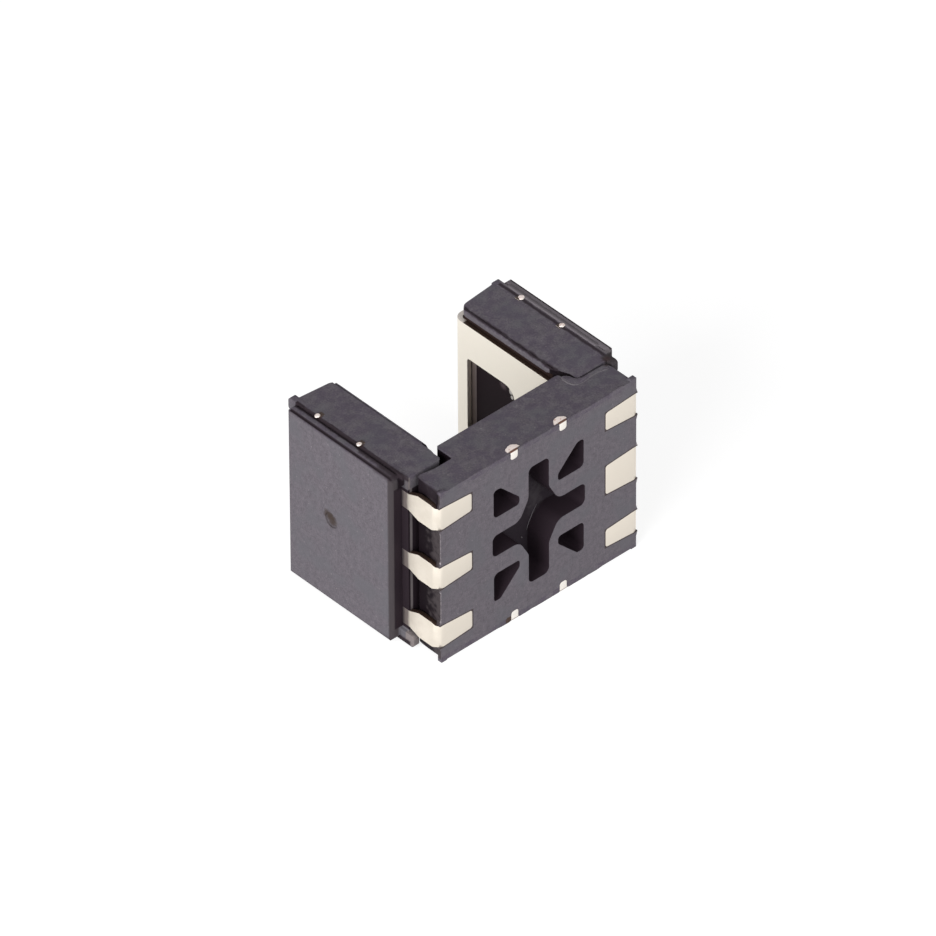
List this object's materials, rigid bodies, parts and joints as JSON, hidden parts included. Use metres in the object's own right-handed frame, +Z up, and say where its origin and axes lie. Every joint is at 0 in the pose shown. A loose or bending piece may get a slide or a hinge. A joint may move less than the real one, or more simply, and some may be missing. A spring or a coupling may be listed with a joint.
{
  "type": "slotted optical switch",
  "caption": "Fork-shaped light barrier for surface mounting: a flat base with solder pads and two folded-up arms that face each other across a slot.",
  "frame": {"origin": "the middle of the solder face", "axes": "X across the slot, from the emitting arm to the receiving arm; Y from the solder face to the arm tips; Z up along the slot, as the switch lies on its long side"},
  "size_m": [0.0054, 0.0039, 0.004],
  "materials": {
    "base_plastic": "matt moulded",
    "arm_resin": "satin moulded",
    "tinned_sheet": "matt tin plating",
    "cut_sheet": "sheared, copper showing",
    "chip": "polished",
    "chip_glue": "dull, silver filled",
    "bond_wire": "bright drawn"
  },
  "bodies": {
    "root": {"base_moulding": "base_plastic", "receiver_arm_moulding": "arm_resin", "emitter_arm_moulding": "arm_resin", "receiver_output_lead_upper": "tinned_sheet", "receiver_output_lead_lower": "tinned_sheet", "receiver_shield_lead": "tinned_sheet", "emitter_lead_upper": "tinned_sheet", "emitter_lead_lower": "tinned_sheet", "emitter_shield_lead": "tinned_sheet", "base_tie_bar_upper_right": "cut_sheet", "base_tie_bar_upper_left": "cut_sheet", "base_tie_bar_lower_right": "cut_sheet", "base_tie_bar_lower_left": "cut_sheet", "detector_chip_upper": "chip", "detector_chip_lower": "chip", "emitter_chip": "chip", "detector_glue_upper": "chip_glue", "detector_glue_lower": "chip_glue", "emitter_glue": "chip_glue", "detector_wire_upper": "bond_wire", "detector_wire_lower": "bond_wire", "emitter_wire": "bond_wire"}
  },
  "joints": []
}
